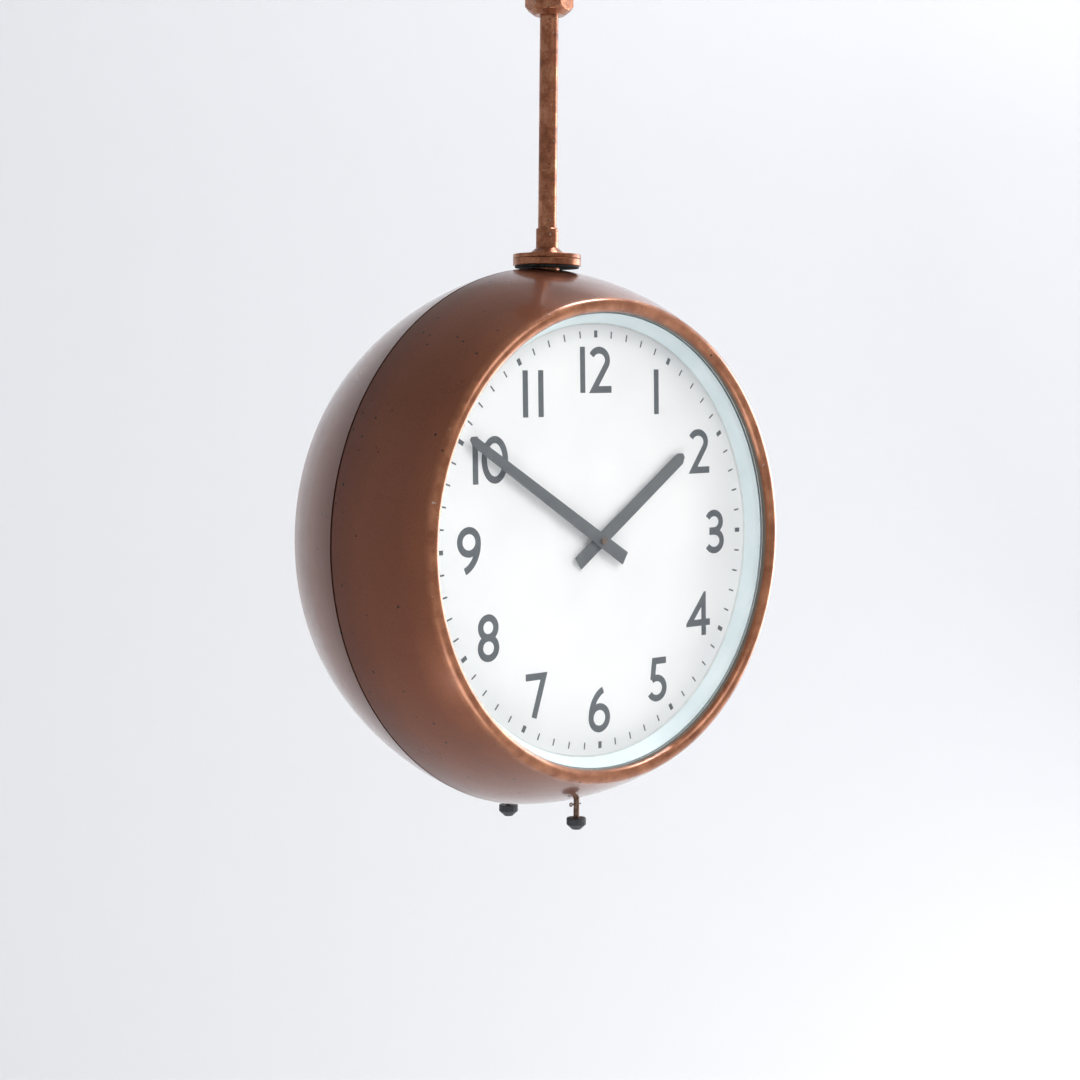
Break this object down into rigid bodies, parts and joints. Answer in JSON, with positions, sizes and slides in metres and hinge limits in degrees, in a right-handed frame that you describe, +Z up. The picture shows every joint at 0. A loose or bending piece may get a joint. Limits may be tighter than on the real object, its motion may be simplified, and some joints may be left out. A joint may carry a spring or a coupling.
{
  "type": "double-sided pendant clock",
  "caption": "Round double-sided clock in two spun metal half-cases, hung from the ceiling by a tube; each half swings open on a side hinge to reach its dial and hands.",
  "frame": {"origin": "middle of the ceiling plate's top face, where it meets the ceiling", "axes": "+Z up out of the ceiling plate; the front dial faces -Y and the rear dial +Y; the case hinge is on the +X side"},
  "size_m": [0.5645, 0.215, 0.8855],
  "materials": {
    "case_lacquer": "metallic copper-brown stoving lacquer, semi-gloss, worn at the lip",
    "pendant_lacquer": "worn copper-bronze lacquer with dark patina",
    "seal_rubber": "matt black",
    "window_glass": "clear float glass",
    "dial_white": "matt white enamel with dark grey print",
    "reveal_white": "satin pale blue-white paint",
    "hand_grey": "matt dark grey",
    "zinc_steel": "zinc-plated sheet steel",
    "movement_brass": "drawn brass sheet",
    "magnet_iron": "soft iron, oiled",
    "coil_winding": "enamelled copper wire under varnish",
    "knob_black": "moulded black phenolic",
    "screw_steel": "steel with brown patina",
    "terminal_phenolic": "moulded brown phenolic"
  },
  "bodies": {
    "frame": {"ceiling_plate": "pendant_lacquer", "ceiling_union": "pendant_lacquer", "pendant_tube": "pendant_lacquer", "tube_collar": "pendant_lacquer", "canopy_cap": "pendant_lacquer", "canopy_flange": "pendant_lacquer", "canopy_gasket": "seal_rubber", "tube_locknut": "zinc_steel", "centre_ring": "zinc_steel", "cross_bars": "zinc_steel", "terminal_block": "terminal_phenolic", "frame_hinge": "zinc_steel", "hinge_pin": "screw_steel", "lock_lugs": "zinc_steel", "dial_posts": "zinc_steel", "movement_back_plates": "movement_brass", "movement_front_plates": "movement_brass", "magnet_yokes": "magnet_iron", "magnet_coils": "coil_winding", "backstop_clicks": "screw_steel", "front_dial": "dial_white", "rear_dial": "dial_white"},
    "front_case": {"front_shell": "case_lacquer", "front_hinge_leaf": "case_lacquer", "front_glass": "window_glass", "front_glass_seal": "seal_rubber", "front_reveal_ring": "reveal_white", "front_reveal_clips": "zinc_steel"},
    "front_thumbscrew": {"front_screw_shank": "screw_steel", "front_screw_knob": "knob_black", "front_screw_cotter": "screw_steel"},
    "front_nut": {"front_clamp_nut": "screw_steel"},
    "front_minutes": {"front_ratchet_wheel": "movement_brass", "front_centre_arbor": "screw_steel", "front_minute_hand": "hand_grey", "front_hand_screw": "screw_steel"},
    "front_intermediate": {"front_minute_wheel": "movement_brass"},
    "front_hours": {"front_hour_wheel": "movement_brass", "front_hour_hand": "hand_grey"},
    "front_rocker": {"front_armature": "magnet_iron"},
    "front_feed": {"front_pawl": "screw_steel"},
    "rear_case": {"rear_shell": "case_lacquer", "rear_hinge_leaf": "case_lacquer", "rear_glass": "window_glass", "rear_glass_seal": "seal_rubber", "rear_reveal_ring": "reveal_white", "rear_reveal_clips": "zinc_steel"},
    "rear_thumbscrew": {"rear_screw_shank": "screw_steel", "rear_screw_knob": "knob_black", "rear_screw_cotter": "screw_steel"},
    "rear_nut": {"rear_clamp_nut": "screw_steel"},
    "rear_minutes": {"rear_ratchet_wheel": "movement_brass", "rear_centre_arbor": "screw_steel", "rear_minute_hand": "hand_grey", "rear_hand_screw": "screw_steel"},
    "rear_intermediate": {"rear_minute_wheel": "movement_brass"},
    "rear_hours": {"rear_hour_wheel": "movement_brass", "rear_hour_hand": "hand_grey"},
    "rear_rocker": {"rear_armature": "magnet_iron"},
    "rear_feed": {"rear_pawl": "screw_steel"}
  },
  "joints": [
    {"name": "front_case_swing", "type": "hinge", "parent": "frame", "child": "front_case", "pos_m": [0.2825, 0, -0.5883], "axis": [0, 0, 1], "range_deg": [0, 100]},
    {"name": "front_screw_turn", "type": "hinge", "parent": "front_case", "child": "front_thumbscrew", "pos_m": [0, -0.052, -0.8683], "axis": [0, 0, -1], "range_deg": [0, 720]},
    {"name": "front_nut_rise", "type": "slide", "parent": "front_case", "child": "front_nut", "axis": [0, 0, 1], "range_m": [0, 0.002]},
    {"name": "front_minute_turn", "type": "hinge", "parent": "frame", "child": "front_minutes", "pos_m": [0, -0.045, -0.5883], "axis": [0, 1, 0], "continuous": true},
    {"name": "front_intermediate_turn", "type": "hinge", "parent": "frame", "child": "front_intermediate", "pos_m": [0.01966, -0.07, -0.60207], "axis": [0, 1, 0], "continuous": true},
    {"name": "front_hour_turn", "type": "hinge", "parent": "frame", "child": "front_hours", "pos_m": [0, -0.073, -0.5883], "axis": [0, 1, 0], "continuous": true},
    {"name": "front_armature_rock", "type": "hinge", "parent": "frame", "child": "front_rocker", "pos_m": [-0.03, -0.046, -0.6213], "axis": [0, 1, 0], "range_deg": [0, 1.8], "stiffness_Nm_per_rad": 0.1, "springref_deg": -5.73},
    {"name": "front_pawl_follow", "type": "hinge", "parent": "front_rocker", "child": "front_feed", "pos_m": [-0.0315, -0.046, -0.5583], "axis": [0, 1, 0], "range_deg": [-12, 0]},
    {"name": "rear_case_swing", "type": "hinge", "parent": "frame", "child": "rear_case", "pos_m": [0.2825, 0, -0.5883], "axis": [0, 0, -1], "range_deg": [0, 100]},
    {"name": "rear_screw_turn", "type": "hinge", "parent": "rear_case", "child": "rear_thumbscrew", "pos_m": [0, 0.052, -0.8683], "axis": [0, 0, -1], "range_deg": [0, 720]},
    {"name": "rear_nut_rise", "type": "slide", "parent": "rear_case", "child": "rear_nut", "axis": [0, 0, 1], "range_m": [0, 0.002]},
    {"name": "rear_minute_turn", "type": "hinge", "parent": "frame", "child": "rear_minutes", "pos_m": [0, 0.045, -0.5883], "axis": [0, -1, 0], "continuous": true},
    {"name": "rear_intermediate_turn", "type": "hinge", "parent": "frame", "child": "rear_intermediate", "pos_m": [-0.01966, 0.07, -0.60207], "axis": [0, -1, 0], "continuous": true},
    {"name": "rear_hour_turn", "type": "hinge", "parent": "frame", "child": "rear_hours", "pos_m": [0, 0.073, -0.5883], "axis": [0, -1, 0], "continuous": true},
    {"name": "rear_armature_rock", "type": "hinge", "parent": "frame", "child": "rear_rocker", "pos_m": [0.03, 0.046, -0.6213], "axis": [0, -1, 0], "range_deg": [0, 1.8], "stiffness_Nm_per_rad": 0.1, "springref_deg": -5.73},
    {"name": "rear_pawl_follow", "type": "hinge", "parent": "rear_rocker", "child": "rear_feed", "pos_m": [0.0315, 0.046, -0.5583], "axis": [0, -1, 0], "range_deg": [-12, 0]}
  ],
  "couplings": [
    {"joint": "front_nut_rise", "follows": "front_screw_turn", "m_per_rad": 0.00015915},
    {"joint": "front_intermediate_turn", "follows": "front_minute_turn", "ratio": -0.33333},
    {"joint": "front_hour_turn", "follows": "front_minute_turn", "ratio": 0.083333},
    {"joint": "front_pawl_follow", "follows": "front_armature_rock", "ratio": -0.9},
    {"joint": "rear_nut_rise", "follows": "rear_screw_turn", "m_per_rad": 0.00015915},
    {"joint": "rear_intermediate_turn", "follows": "rear_minute_turn", "ratio": -0.33333},
    {"joint": "rear_hour_turn", "follows": "rear_minute_turn", "ratio": 0.083333},
    {"joint": "rear_pawl_follow", "follows": "rear_armature_rock", "ratio": -0.9}
  ]
}
